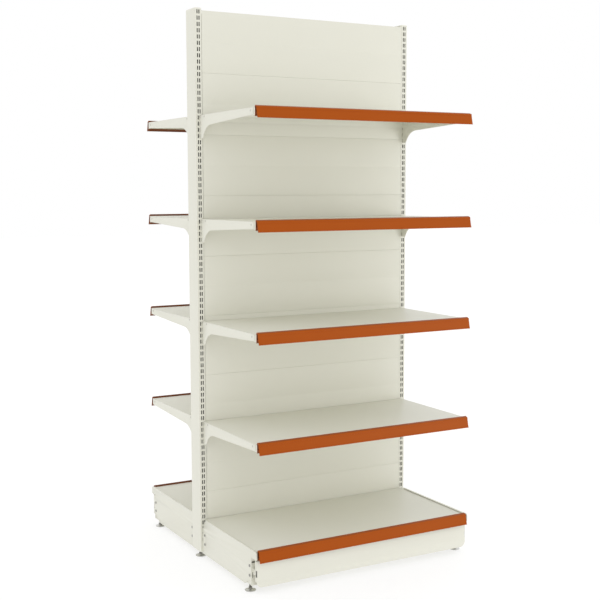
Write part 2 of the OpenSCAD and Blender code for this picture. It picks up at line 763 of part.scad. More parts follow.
for (e = ENDS) {
    at_quarter(1, e[1]) upright();
    at_quarter(1, e[1]) upright_cap();
}
tie_beams();
leg_bolts();
for (s = SIDES) {
    at_quarter(s[1], 1) panels();
    at_quarter(s[1], 1) base_deck();
    at_quarter(s[1], 1) kick_plate();
}
for (s = SIDES, e = ENDS) {
    at_quarter(s[1], e[1]) base_leg();
    at_quarter(s[1], e[1]) foot_bracket();
}
for (r = FOOT_ROWS, e = ENDS) {
    foot_x = post_x - (r[1] == 0 ? mid_foot_in : outer_foot_in);
    foot(e[1] * foot_x, r[1] * (deck_front - outer_foot_back));
}
for (s = SIDES, n = [0:shelf_levels])
    at_quarter(s[1], 1) ticket_strip(n);
for (s = SIDES, n = [1:shelf_levels]) {
    at_quarter(s[1], 1) tray(n);
    for (e = ENDS)
        at_quarter(s[1], e[1]) bracket(n);
}
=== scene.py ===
import json
import math

import bmesh
import bpy
from mathutils import Matrix, Vector


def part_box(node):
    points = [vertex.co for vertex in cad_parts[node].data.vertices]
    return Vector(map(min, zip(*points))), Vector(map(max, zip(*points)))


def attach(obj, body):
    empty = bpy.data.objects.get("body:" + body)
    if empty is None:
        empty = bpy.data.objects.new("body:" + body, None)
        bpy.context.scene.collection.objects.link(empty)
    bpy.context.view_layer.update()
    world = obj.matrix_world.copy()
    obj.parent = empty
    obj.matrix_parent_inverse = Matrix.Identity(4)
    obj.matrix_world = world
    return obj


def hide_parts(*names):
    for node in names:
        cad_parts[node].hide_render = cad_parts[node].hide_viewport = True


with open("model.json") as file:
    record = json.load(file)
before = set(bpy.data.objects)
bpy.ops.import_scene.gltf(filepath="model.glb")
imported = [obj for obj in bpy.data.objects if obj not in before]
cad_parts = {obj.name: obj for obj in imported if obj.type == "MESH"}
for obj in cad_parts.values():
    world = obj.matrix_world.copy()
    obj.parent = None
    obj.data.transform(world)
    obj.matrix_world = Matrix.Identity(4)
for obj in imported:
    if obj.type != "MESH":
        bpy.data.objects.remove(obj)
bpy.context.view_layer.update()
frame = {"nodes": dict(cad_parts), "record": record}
scene = bpy.context.scene
nodes = frame["nodes"]
mm = 0.001

sides = {"front": -1, "rear": 1}
ends = {"left": -1, "right": 1}
levels = ["base", "shelf_1", "shelf_2", "shelf_3", "shelf_4"]
print("frame loaded,", len(nodes), "nodes")


# Camera and stage

cameraLook = {
    "place": (-2.3381, -4.1594, 1.5712),
    "yaw": 29.234,         # degrees, towards +X
    "pitch": -5.898,
    "roll": -0.13,
    "lens": 65.02,
    "sensor": 36.0,
    "nearest": 0.05,       # metres that the camera sees from and to
    "farthest": 200.0,
}


def makeCamera(look):
    yaw, pitch, roll = (math.radians(look[key]) for key in ("yaw", "pitch", "roll"))
    ahead = Vector((math.sin(yaw) * math.cos(pitch), math.cos(yaw) * math.cos(pitch), math.sin(pitch)))
    right = Vector((math.cos(yaw), -math.sin(yaw), 0))
    up = right.cross(ahead)
    turnedRight = right * math.cos(roll) + up * math.sin(roll)
    turnedUp = up * math.cos(roll) - right * math.sin(roll)
    data = bpy.data.cameras.new("camera")
    data.sensor_width = look["sensor"]
    data.lens = look["lens"]
    data.clip_start = look["nearest"]
    data.clip_end = look["farthest"]
    camera = bpy.data.objects.new("camera", data)
    scene.collection.objects.link(camera)
    turn = Matrix((turnedRight, turnedUp, -ahead)).transposed().to_4x4()
    camera.matrix_world = Matrix.Translation(look["place"]) @ turn
    scene.camera = camera


makeCamera(cameraLook)

studioLook = {
    "worldStrength": 1.0,
    "floorColour": (0.36, 0.36, 0.36, 1),
    "floorGlow": 0.66,
    "floorGrain": 40.0,
    "floorRoughness": 0.75,
    "floorSwing": 0.1,     # of the roughness
    "floorSize": 60.0,
    "keyPower": 18.0,      # a soft light, right of the camera
    "keySize": 1.6,
    "keyPlace": (2.6, -3.4, 1.3),
    "aim": (0, 0, 1.0),
}


def makeWorld(strength):
    world = bpy.data.worlds.new("studio")
    world.use_nodes = True
    ground = world.node_tree.nodes["Background"]
    ground.inputs["Color"].default_value = (1, 1, 1, 1)
    ground.inputs["Strength"].default_value = strength
    scene.world = world


def makeAreaLight(name, place, aim, power, size):
    data = bpy.data.lights.new(name, "AREA")
    data.shape = "DISK"
    data.size = size
    data.energy = power
    light = bpy.data.objects.new(name, data)
    light.location = place
    light.rotation_mode = "QUATERNION"
    light.rotation_quaternion = (Vector(aim) - Vector(place)).to_track_quat("-Z", "Y")
    scene.collection.objects.link(light)


def makeStudio(look):
    makeWorld(look["worldStrength"])
    makeAreaLight("keyLight", look["keyPlace"], look["aim"], look["keyPower"], look["keySize"])
    scene.view_settings.view_transform = "Standard"
    scene.view_settings.look = "None"


makeStudio(studioLook)
print("camera and studio ready")


# Node sheets, for finishes and for Geometry Nodes recipes

class Wire:                       # a socket that Python maths can be written on
    def __init__(self, sheet, socket):
        self.sheet = sheet
        self.socket = socket

    def calc(self, operation, first, second):
        return self.sheet.calc(operation, first, second)

    def __add__(self, other):
        return self.calc("ADD", self, other)

    def __radd__(self, other):
        return self.calc("ADD", other, self)

    def __sub__(self, other):
        return self.calc("SUBTRACT", self, other)

    def __rsub__(self, other):
        return self.calc("SUBTRACT", other, self)

    def __mul__(self, other):
        return self.calc("MULTIPLY", self, other)

    def __rmul__(self, other):
        return self.calc("MULTIPLY", other, self)

    def __truediv__(self, other):
        return self.calc("DIVIDE", self, other)

    def __pow__(self, other):
        return self.calc("POWER", self, other)

    def __gt__(self, other):
        return self.calc("GREATER_THAN", self, other)


class Sheet:                      # a node tree that is filled by node type, settings and sockets
    def __init__(self, tree):
        self.tree = tree
        self.tree.nodes.clear()

    def add(self, kind, settings=None, sockets=None):
        node = self.tree.nodes.new(kind)
        for key, value in (settings or {}).items():
            if key == "stops":
                for index, (position, colour) in enumerate(value):
                    stops = node.color_ramp.elements
                    stop = stops[index] if index < len(stops) else stops.new(position)
                    stop.position = position
                    stop.color = colour
            else:
                setattr(node, key, value)
        self.feed(node, sockets or {})
        return node

    def feed(self, node, sockets):
        for key, value in sockets.items():
            for each in value if isinstance(value, list) else [value]:
                if isinstance(each, Wire):
                    self.tree.links.new(each.socket, node.inputs[key])
                else:
                    node.inputs[key].default_value = each

    def out(self, node, key=0):
        return Wire(self, node.outputs[key])

    def calc(self, operation, first, second):
        return self.out(self.add("ShaderNodeMath", {"operation": operation}, {0: first, 1: second}))


class Look(Sheet):                # one finish
    def __init__(self, name):
        self.material = bpy.data.materials.new(name)
        self.material.use_nodes = True
        super().__init__(self.material.node_tree)
        self.shader = self.add("ShaderNodeBsdfPrincipled")
        self.add("ShaderNodeOutputMaterial", {}, {"Surface": self.out(self.shader)})
        self.place = self.out(self.add("ShaderNodeTexCoord"), "Object")

    def noise(self, scale, detail=2.0, roughness=0.5, place=None):
        sockets = {"Vector": place or self.place, "Scale": scale}
        sockets.update({"Detail": detail, "Roughness": roughness})
        return self.out(self.add("ShaderNodeTexNoise", {}, sockets), "Fac")

    def stretched(self, scale):   # object coordinates, drawn out along the axes
        return self.out(self.add("ShaderNodeMapping", {}, {"Vector": self.place, "Scale": scale}))

    def blend(self, factor, first, second):
        node = self.add("ShaderNodeMix", {"data_type": "RGBA"}, {"Factor": factor, 6: first, 7: second})
        return self.out(node, 2)

    def shaded(self):             # 1 on the faces that a piece marks: painted shade, and the feet's darker screw colour
        return self.out(self.add("ShaderNodeAttribute", {"attribute_name": "shaded"}), "Fac")

    def bump(self, height, distance, strength=1.0):
        sockets = {"Height": height, "Distance": distance, "Strength": strength}
        return self.out(self.add("ShaderNodeBump", {}, sockets))


class Recipe(Sheet):              # a Geometry Nodes tree with named sizes
    sockets = {float: "NodeSocketFloat", int: "NodeSocketInt", bool: "NodeSocketBool"}

    def __init__(self, name, sizes):
        tree = bpy.data.node_groups.new(name, "GeometryNodeTree")
        super().__init__(tree)
        self.keys = {}
        self.declare("Geometry", "NodeSocketGeometry")
        self.declare("Finish", "NodeSocketMaterial")
        tree.interface.new_socket("Geometry", in_out="OUTPUT", socket_type="NodeSocketGeometry")
        for label, value in sizes.items():
            self.declare(label, self.sockets[type(value)]).default_value = value
        self.given = self.add("NodeGroupInput")

    def declare(self, label, kind):
        socket = self.tree.interface.new_socket(label, in_out="INPUT", socket_type=kind)
        self.keys[label] = socket.identifier
        return socket

    def size(self, *labels):
        found = [self.out(self.given, label) for label in labels]
        return found if len(found) > 1 else found[0]

    def vector(self, x=0.0, y=0.0, z=0.0):
        return self.out(self.add("ShaderNodeCombineXYZ", {}, {"X": x, "Y": y, "Z": z}))

    def place(self, geometry, move=(0, 0, 0), turn=(0, 0, 0)):
        turned = tuple(math.radians(angle) for angle in turn)
        sockets = {"Geometry": geometry, "Translation": move, "Rotation": turned}
        return self.out(self.add("GeometryNodeTransform", {}, sockets))

    def join(self, *geometries):
        return self.out(self.add("GeometryNodeJoinGeometry", {}, {"Geometry": list(geometries)}))

    def merge(self, geometry, distance=1e-6):
        sockets = {"Geometry": geometry, "Distance": distance}
        return self.out(self.add("GeometryNodeMergeByDistance", {}, sockets))

    def rectangle(self, width, height):
        node = self.add("GeometryNodeCurvePrimitiveQuadrilateral", {"mode": "RECTANGLE"}, {
            "Width": width, "Height": height})
        return self.out(node)

    def ring(self, radius, corners=24):
        node = self.add("GeometryNodeCurvePrimitiveCircle", {"mode": "RADIUS"}, {
            "Radius": radius, "Resolution": corners})
        return self.out(node, "Curve")

    def disc(self, radius, height, corners=24, rings=1, steps=1):
        sockets = {"Vertices": corners, "Side Segments": steps, "Fill Segments": rings,
                   "Radius": radius, "Depth": height}
        return self.out(self.add("GeometryNodeMeshCylinder", {"fill_type": "NGON"}, sockets), "Mesh")

    def filled(self, *curves):
        sockets = {"Curve": self.join(*curves)}
        return self.out(self.add("GeometryNodeFillCurve", {"mode": "NGONS"}, sockets))

    def thicken(self, sheet, thickness):         # a closed slab between z = 0 and the thickness
        raised = self.out(self.add("GeometryNodeExtrudeMesh", {"mode": "FACES"}, {
            "Mesh": sheet, "Offset Scale": thickness, "Individual": False}), "Mesh")
        back = self.out(self.add("GeometryNodeFlipFaces", {}, {"Mesh": sheet}))
        return self.merge(self.join(raised, back))

    def repeat(self, geometry, points, turn=None):
        sockets = {"Points": points, "Instance": geometry}
        if turn:
            sockets["Rotation"] = turn
        placed = self.out(self.add("GeometryNodeInstanceOnPoints", {}, sockets))
        return self.out(self.add("GeometryNodeRealizeInstances", {}, {"Geometry": placed}))

    def facing(self):             # turns Z to the "facing" vector of each point
        ways = self.add("GeometryNodeInputNamedAttribute", {"data_type": "FLOAT_VECTOR"}, {
            "Name": "facing"})
        turn = self.add("FunctionNodeAlignRotationToVector", {"axis": "Z"}, {"Vector": self.out(ways)})
        return self.out(turn)

    def row(self, count, start, step):
        sockets = {"Count": count, "Start Location": start, "Offset": step}
        return self.out(self.add("GeometryNodeMeshLine", {"mode": "OFFSET"}, sockets))

    def shaped(self, geometry, position):        # every point moved to a new position
        sockets = {"Geometry": geometry, "Position": position}
        return self.out(self.add("GeometryNodeSetPosition", {}, sockets))

    def here(self):
        position = self.out(self.add("GeometryNodeInputPosition"))
        node = self.add("ShaderNodeSeparateXYZ", {}, {0: position})
        return [self.out(node, axis) for axis in "XYZ"]

    def domed(self, radius, height, crown, corners=32, rings=5):     # a disc with a crowned top
        x, y, z = self.here()
        rise = crown * (1.0 - (x * x + y * y) / (radius * radius)) * (z > 0.0)
        disc = self.shaped(self.disc(radius, height, corners, rings), self.vector(x, y, z + rise))
        return self.place(disc, self.vector(z=height * 0.5))

    def cut(self, solid, tool):
        node = self.add("GeometryNodeMeshBoolean", {"operation": "DIFFERENCE"}, {
            "Mesh 1": solid, "Mesh 2": tool})
        return self.out(node, "Mesh")

    def close(self, geometry):
        real = self.out(self.add("GeometryNodeRealizeInstances", {}, {"Geometry": geometry}))
        sockets = {"Geometry": real, "Material": self.size("Finish")}
        done = self.out(self.add("GeometryNodeSetMaterial", {}, sockets))
        self.add("NodeGroupOutput", {}, {"Geometry": done})
        return self


def grow(recipe, source, slot, smoothAngle=30.0, **sizes):       # a plain mesh from a recipe
    carrier = bpy.data.objects.new("carrier", source)
    scene.collection.objects.link(carrier)
    modifier = carrier.modifiers.new("recipe", "NODES")
    modifier.node_group = recipe.tree
    modifier[recipe.keys["Finish"]] = finishes[slot]
    for label, value in sizes.items():
        modifier[recipe.keys[label.replace("_", " ")]] = value
    view = bpy.context.evaluated_depsgraph_get()
    mesh = bpy.data.meshes.new_from_object(carrier.evaluated_get(view))
    bpy.data.objects.remove(carrier)
    mesh.shade_smooth()
    mesh.set_sharp_from_angle(angle=math.radians(smoothAngle))
    return mesh


# Finishes

coatLook = {
    "light": (0.762, 0.754, 0.667, 1),
    "deep": (0.738, 0.730, 0.635, 1),
    "inside": (0.10, 0.097, 0.082, 1),           # painted shade inside the post tubes and on the dark blocks behind small slots
    "cloudScale": 3.0,
    "cloudShare": 0.7,     # of the colour's variation, the rest being specks
    "speckScale": 1430.0,
    "peelScale": 650.0,
    "peelDepth": 0.00006,
    "roughness": 0.40,
    "roughnessSwing": 0.12,
}


def makeCoat(look):
    coat = Look("ivoryPowderCoat")
    clouds = coat.noise(look["cloudScale"], 3.0)
    specks = coat.noise(look["speckScale"], 1.0)
    peel = coat.noise(look["peelScale"], 2.0, 0.6)
    share = look["cloudShare"]
    colour = coat.blend(clouds * share + specks * (1 - share), look["light"], look["deep"])
    coat.feed(coat.shader, {
        # painted shade: marked faces blend to the dark inside colour
        "Base Color": coat.blend(coat.shaded(), colour, look["inside"]),
        "Roughness": look["roughness"] + (clouds - 0.5) * look["roughnessSwing"],
        "Normal": coat.bump(peel, look["peelDepth"]),
    })
    return coat.material


stripLook = {
    "light": (0.402, 0.081, 0.004, 1),
    "deep": (0.356, 0.067, 0.003, 1),
    "back": (0.225, 0.077, 0.033, 1),            # painted shade on the back and the hollow, and partly on the top
    "lineScale": (1.5, 900, 900),
    "lineDepth": 0.00004,
    "cloudScale": 6.0,
    "cloudShare": 0.6,     # of the colour's variation, the rest being lines
    "roughness": 0.34,
    "roughnessSwing": 0.1,
    "shine": 0.10,         # specular level
}


def makeStripPlastic(look):
    strip = Look("orangeStripPlastic")
    lines = strip.noise(1.0, 3.0, 0.6, strip.stretched(look["lineScale"]))
    clouds = strip.noise(look["cloudScale"], 2.0)
    share = look["cloudShare"]
    face = strip.blend(clouds * share + lines * (1 - share), look["light"], look["deep"])
    strip.feed(strip.shader, {
        # painted shade: marked faces blend to the darker back colour
        "Base Color": strip.blend(strip.shaded(), face, look["back"]),
        "Roughness": look["roughness"] + lines * look["roughnessSwing"],
        "Normal": strip.bump(lines, look["lineDepth"]),
        "Specular IOR Level": look["shine"],
    })
    return strip.material


zincLook = {
    "bright": (0.80, 0.80, 0.78, 1),
    "dull": (0.58, 0.58, 0.56, 1),
    "screw": (0.27, 0.26, 0.235, 1),             # darker colour of the feet above their pads; on the bolts it is painted shade
    "spangleScale": 260.0,
    "spangleShare": 0.5,   # of the colour's variation, the rest being clouds
    "spangleDepth": 0.00003,
    "cloudScale": 40.0,
    "roughness": 0.28,
    "roughnessSwing": 0.22,
}


def makeZinc(look):
    zinc = Look("zincPlate")
    spangle = zinc.noise(look["spangleScale"], 3.0, 0.65)
    clouds = zinc.noise(look["cloudScale"], 2.0)
    share = look["spangleShare"]
    plate = zinc.blend(spangle * share + clouds * (1 - share), look["bright"], look["dull"])
    zinc.feed(zinc.shader, {
        "Base Color": zinc.blend(zinc.shaded(), plate, look["screw"]),
        "Metallic": 1.0,
        "Roughness": look["roughness"] + spangle * look["roughnessSwing"],
        "Normal": zinc.bump(spangle, look["spangleDepth"]),
    })
    return zinc.material


capLook = {
    "light": (0.84, 0.83, 0.745, 1),
    "deep": (0.80, 0.79, 0.70, 1),
    "cloudScale": 30.0,
    "grainScale": 1500.0,
    "grainDepth": 0.00008,
    "roughness": 0.48,
    "roughnessSwing": 0.14,
}


def makeCapPlastic(look):
    cap = Look("ivoryCapPlastic")
    grain = cap.noise(look["grainScale"], 2.0, 0.6)
    clouds = cap.noise(look["cloudScale"], 2.0)
    cap.feed(cap.shader, {
        "Base Color": cap.blend(clouds, look["light"], look["deep"]),
        "Roughness": look["roughness"] + grain * look["roughnessSwing"],
        "Normal": cap.bump(grain, look["grainDepth"]),
    })
    return cap.material


def makeFloor(look):
    pale = Look("paleFloor")
    grain = pale.noise(look["floorGrain"], 3.0)
    pale.feed(pale.shader, {
        "Base Color": look["floorColour"],
        "Roughness": look["floorRoughness"] + grain * look["floorSwing"],
        "Emission Color": (1, 1, 1, 1),
        "Emission Strength": look["floorGlow"],
    })
    mesh = bpy.data.meshes.new("floor")
    half = look["floorSize"] / 2
    corners = [(-half, -half, 0), (half, -half, 0), (half, half, 0), (-half, half, 0)]
    mesh.from_pydata(corners, [], [(0, 1, 2, 3)])
    mesh.materials.append(pale.material)
    floor = bpy.data.objects.new("floor", mesh)
    scene.collection.objects.link(floor)


finishes = {
    "ivory_steel": makeCoat(coatLook),
    "ivory_plastic": makeCapPlastic(capLook),
    "orange_plastic": makeStripPlastic(stripLook),
    "zinc_steel": makeZinc(zincLook),
}
makeFloor(studioLook)
print("finishes ready")


# Pieces and how they are named

slotOf = {part["node"]: part["material_slot"] for part in frame["record"]["subparts"]}
bodies = frame["record"]["behaviour"]["bodies"]
bodyOf = {node: body for body, members in bodies.items() for node in members}
edgeLook = {
    "width": 0.35,         # millimetres
    "segments": 2,
    "angle": 28.0,         # degrees, above which an edge is eased
    "flat": 1.0,           # degrees, below which faces of a solid become one
    "weld": 0.001,         # millimetres, within which its corners become one
}


def newPiece(name, mesh, body, slot, *replaced):
    piece = bpy.data.objects.new(name, mesh)
    scene.collection.objects.link(piece)
    if not mesh.materials:
        mesh.materials.append(finishes[slot])
    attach(piece, body)
    if replaced:
        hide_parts(*replaced)
    return piece


def easeEdges(piece, width=edgeLook["width"]):
    piece.data.shade_smooth()
    ease = piece.modifiers.new("easedEdges", "BEVEL")
    ease.width = width * mm
    ease.segments = edgeLook["segments"]
    ease.limit_method = "ANGLE"
    ease.angle_limit = math.radians(edgeLook["angle"])
    ease.harden_normals = True
    ease.use_clamp_overlap = True


def outlineMesh(name, *loops):    # closed loops of (depth, height) in millimetres
    mesh = bpy.data.meshes.new(name)
    points = []
    edges = []
    for loop in loops:
        first = len(points)
        points += [(across * mm, up * mm, 0) for across, up in loop]
        edges += [(first + index, first + (index + 1) % len(loop)) for index in range(len(loop))]
    mesh.from_pydata(points, edges, [])
    return mesh


def arc(centre, radius, start, stop, steps=6):
    across, up = centre
    angles = [math.radians(start + (stop - start) * step / steps) for step in range(steps + 1)]
    return [(across + radius * math.cos(angle), up + radius * math.sin(angle)) for angle in angles]


def shadeFaces(mesh, test):       # marks faces, chosen by their centre in millimetres and their normal
    marks = mesh.attributes.new("shaded", "FLOAT", "FACE")
    for mark, face in zip(marks.data, mesh.polygons):
        mark.value = float(test(face.center / mm, face.normal))


def faceSide(mesh, side):         # what is made for the rear turns half round for the front
    if side < 0:
        mesh.transform(Matrix.Rotation(math.pi, 4, "Z"))
    return mesh


# Back panels: one folded sheet, run along the bay and stacked

panelLook = {
    "rows": 9,
    "sheet": 1.0,
    "edgeRadius": 0.5,
    "crease": 0.25,
    "creaseHalf": 2.2,
    "seam": 0.15,
    "eased": 0.2,
}


def makeFoldedRunRecipe():
    run = Recipe("foldedRun", {"Length": 1.0, "Rows": 1, "Row height": 0.25})
    length, rows, rowHeight = run.size("Length", "Rows", "Row height")
    loops = run.out(run.add("GeometryNodeMeshToCurve", {}, {"Mesh": run.size("Geometry")}))
    sheet = run.thicken(run.filled(loops), length)
    turned = run.place(run.place(sheet, run.vector(z=length * -0.5)), turn=(90, 0, 90))
    stack = run.repeat(turned, run.row(rows, (0, 0, 0), run.vector(z=rowHeight)))
    return run.close(stack)


foldedRun = makeFoldedRunRecipe()


def panelOutline(look, near, face, pitch):
    radius = look["edgeRadius"]
    high = pitch - look["seam"]
    middle = pitch / 2
    sheet = look["sheet"]
    return (
        [(near, look["seam"])]
        + arc((face - radius, look["seam"] + radius), radius, -90, 0)
        + [(face, middle - look["creaseHalf"]), (face - look["crease"], middle)]
        + [(face, middle + look["creaseHalf"])]
        + arc((face - radius, high - radius), radius, 0, 90)
        + [(near, high), (near, high - sheet), (face - sheet, high - sheet)]
        + [(face - sheet, look["seam"] + sheet), (near, look["seam"] + sheet)]
    )


def makePanels(look):
    for side, sign in sides.items():
        low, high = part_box(side + "_panels")
        near, face = sorted(abs(corner[1]) / mm for corner in (low, high))
        pitch = (high[2] - low[2]) / look["rows"]
        outline = outlineMesh("panelOutline", panelOutline(look, near, face, pitch / mm))
        mesh = grow(
            foldedRun, outline, "ivory_steel", Length=high[0] - low[0], Rows=look["rows"],
            Row_height=pitch)
        mesh.transform(Matrix.Translation((0, 0, low[2])))
        mesh = faceSide(mesh, sign)
        piece = newPiece(side + "_back_panels", mesh, "frame", "ivory_steel", side + "_panels")
        easeEdges(piece, look["eased"])


makePanels(panelLook)
print("back panels ready")


# Ticket strips: a label channel between two lips, hollow behind

stripShape = {
    "topDepth": 12.0,
    "bottomDepth": 22.0,
    "height": 44.0,
    "backRise": 3.0,       # of the back top edge above the front one
    "wall": 1.5,
    "topRadius": 4.0,
    "topLip": 8.0,         # distances down from the top edge
    "bottomLip": 40.1,
    "recess": 0.9,
    "lipStep": 0.3,        # over which the face falls to its recess
    "channelLow": 28.0,
    "rise": 5.0,           # of the top edge above the shelf
    "lipLow": 36.0,        # of the tray's lip
    "hookGap": 0.3,
    "hookRise": 2.9,       # 0.1 short of the tray's end walls
    "clear": 0.03,         # from the tray that the strip slides on
    "trayWall": 1.2,
    "nib": 5.0,
    "nibTop": 4.0,         # below the front top edge
    "hollowDrop": 0.5,     # of the hollow's front corner
    "topShade": 0.4,       # how far the top face takes the back's colour
    "topDepthShown": 1.0,  # the top face lies above this depth
    "faceMargin": 0.2,     # within which a face still counts as the front
    "eased": 0.2,
}


def stripFace(shape, down, inward=0.0):
    slope = (shape["bottomDepth"] - shape["topDepth"]) / shape["height"]
    return (shape["topDepth"] + slope * down - inward, -down)


def backShade(shape, at, normal):                # 0 on the face and the ends, 1 behind them
    front = stripFace(shape, -at.z)[0] - shape["recess"] - shape["faceMargin"]
    if abs(normal.x) > 0.5 or at.y > front:
        return 0
    isTop = normal.z > 0.5 and at.z > -shape["topDepthShown"]
    return shape["topShade"] if isTop else 1


def stripLoops(shape):
    wall = shape["wall"]
    thick = wall + shape["recess"]
    radius = shape["topRadius"]
    lip = shape["lipLow"]
    gap = shape["hookGap"]
    clear = shape["clear"]
    step = shape["lipStep"]
    inside = -shape["trayWall"] - gap

    def face(down, inward=0.0):
        return stripFace(shape, down, inward)

    outer = (
        [(0, shape["backRise"])]
        + arc((face(radius)[0] - radius, -radius), radius, 90, 0)
        + [face(shape["topLip"]), face(shape["topLip"] + step, shape["recess"])]
        + [face(shape["bottomLip"] - step, shape["recess"]), face(shape["bottomLip"])]
        + [face(shape["height"]), face(shape["height"], thick)]
        + [face(shape["channelLow"], thick), (wall, -shape["channelLow"])]
        + [(wall, -lip - gap - wall), (inside - wall, -lip - gap - wall)]
        + [(inside - wall, shape["hookRise"] - lip), (inside, shape["hookRise"] - lip)]
        + [(inside, -lip - gap), (clear, -lip - gap), (clear, clear - shape["rise"])]
        + [(-shape["nib"], clear - shape["rise"])]
        + [(-shape["nib"], -shape["nibTop"]), (0, -shape["nibTop"])]
    )
    low = shape["channelLow"] - wall
    hollow = [(wall, -wall), (face(wall)[0] - radius, -wall)]
    hollow += [face(radius + shape["hollowDrop"], wall)]
    hollow += [face(shape["topLip"], thick), face(low, thick), (wall, -low)]
    return outer, hollow


def makeTicketStrips(shape):
    for side, sign in sides.items():
        for level in levels:
            node = f"{side}_{level}_ticket_strip"
            low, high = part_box(node)
            lipFront = max(abs(low[1]), abs(high[1])) - shape["bottomDepth"] * mm
            outline = outlineMesh("stripOutline", *stripLoops(shape))
            mesh = grow(foldedRun, outline, "orange_plastic", Length=high[0] - low[0], Rows=1)
            # painted shade: the back, the hollow and part of the top take the darker back colour
            shadeFaces(mesh, lambda at, normal: backShade(shape, at, normal))
            mesh.transform(Matrix.Translation((0, lipFront, high[2] - shape["backRise"] * mm)))
            name = f"{side}_{level}_label_strip"
            piece = newPiece(name, faceSide(mesh, sign), bodyOf[node], "orange_plastic", node)
            easeEdges(piece, shape["eased"])


makeTicketStrips(stripShape)
print("ticket strips ready")


# Uprights: a tube with two punched columns of round-cornered slots in its front and rear faces

uprightLook = {
    "wall": 2.0,
    "corner": 2.4,
    "slots": 89,
    "pitch": 25.0,
    "topMargin": 11.0,     # from the middle of the top slot to the end
    "slotWidth": 4.8,
    "slotHeight": 17.0,
    "slotCorner": 1.2,
    "column": 4.25,
    "plate": 3.0,
    "nutRadius": 9.2,
    "nutHeight": 8.0,
    "bore": 5.05,
    "footShift": 4.0,      # of the foot, towards the bay
    "inward": 10.0,        # a face that looks at the tube's axis from farther off is inside
}


def makeSlottedPostRecipe():
    post = Recipe("slottedPost", {
        "Width": 0.03, "Depth": 0.09, "Length": 2.0, "Wall": 0.002, "Corner": 0.002, "Slots": 10,
        "Pitch": 0.025, "Top margin": 0.011, "Slot width": 0.004, "Slot height": 0.016,
        "Slot corner": 0.001, "Column": 0.005, "Plate": 0.003, "Nut radius": 0.009,
        "Nut height": 0.008, "Bore": 0.005, "Foot x": 0.0})
    width, depth, length, wall, corner = post.size("Width", "Depth", "Length", "Wall", "Corner")
    slots, pitch, margin, column = post.size("Slots", "Pitch", "Top margin", "Column")
    flat = width - corner * 2

    cut = post.out(post.add("GeometryNodeFilletCurve", {"mode": "POLY"}, {
        "Curve": post.rectangle(post.size("Slot width"), post.size("Slot height")),
        "Radius": post.size("Slot corner"), "Count": 3}))
    up = pitch * 0.5 - margin
    pair = [post.place(cut, post.vector(x=column * way, y=up)) for way in (-1, 1)]
    cell = post.filled(post.rectangle(flat, pitch), *pair)
    cells = post.row(slots, post.vector(y=length - pitch * 0.5), post.vector(y=pitch * -1))
    blank = length - slots * pitch
    foot = post.place(post.filled(post.rectangle(flat, blank)), post.vector(y=blank * 0.5))
    sheet = post.thicken(post.merge(post.join(post.repeat(cell, cells), foot)), wall)
    frontWall = post.place(sheet, post.vector(y=wall - depth * 0.5), (90, 0, 0))
    rearWall = post.place(frontWall, turn=(0, 0, 180))

    loops = post.out(post.add("GeometryNodeMeshToCurve", {}, {"Mesh": post.size("Geometry")}))
    cheek = post.thicken(post.filled(loops), length)
    cheeks = [cheek, post.place(cheek, turn=(0, 0, 180))]

    inner = post.rectangle(width - wall * 2, depth - wall * 2)
    bore = post.place(post.ring(post.size("Bore"), 32), post.vector(x=post.size("Foot x")))
    plate = post.thicken(post.filled(inner, bore), post.size("Plate"))
    nutRing = post.place(post.ring(post.size("Nut radius"), 6), post.vector(x=post.size("Foot x")))
    nut = post.thicken(post.filled(nutRing, bore), post.size("Nut height"))
    nutUp = post.place(nut, post.vector(z=post.size("Plate")))
    return post.close(post.join(frontWall, rearWall, *cheeks, plate, nutUp))


def cheekOutline(look, width, depth):            # one rounded side of the tube, seen from above
    radius = look["corner"]
    wall = look["wall"]
    outside = width / 2
    back = depth / 2
    return (
        [(outside - radius, -back)]
        + arc((outside - radius, radius - back), radius, -90, 0)[1:]
        + arc((outside - radius, back - radius), radius, 0, 90)
        + [(outside - radius, back - wall), (outside - wall, back - wall)]
        + [(outside - wall, wall - back), (outside - radius, wall - back)]
    )


def makeUprights(look):
    recipe = makeSlottedPostRecipe()

    # painted shade: faces inside the tube, above the plate and nut, take the dark inside colour
    def takesInsideShade(at, normal):
        above = at.z > look["plate"] + look["nutHeight"]
        return above and at.x * normal.x + at.y * normal.y < -look["inward"]

    for end, sign in ends.items():
        node = end + "_upright"
        low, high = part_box(node)
        width, depth, length = (high[axis] - low[axis] for axis in range(3))
        outline = outlineMesh("cheekOutline", cheekOutline(look, width / mm, depth / mm))
        mesh = grow(
            recipe, outline, "ivory_steel", Width=width, Depth=depth, Length=length,
            Wall=look["wall"] * mm, Corner=look["corner"] * mm,
            Slots=look["slots"], Pitch=look["pitch"] * mm,
            Top_margin=look["topMargin"] * mm, Slot_width=look["slotWidth"] * mm,
            Slot_height=look["slotHeight"] * mm, Slot_corner=look["slotCorner"] * mm,
            Column=look["column"] * mm, Plate=look["plate"] * mm, Nut_radius=look["nutRadius"] * mm,
            Nut_height=look["nutHeight"] * mm, Bore=look["bore"] * mm,
            Foot_x=-sign * look["footShift"] * mm)
        shadeFaces(mesh, takesInsideShade)
        mesh.transform(Matrix.Translation(((low[0] + high[0]) / 2, 0, low[2])))
        newPiece(end + "_slotted_upright", mesh, "frame", "ivory_steel", node)


makeUprights(uprightLook)
print("uprights ready")


# Bolts and rivets: one fastener, set on points that know which way they face

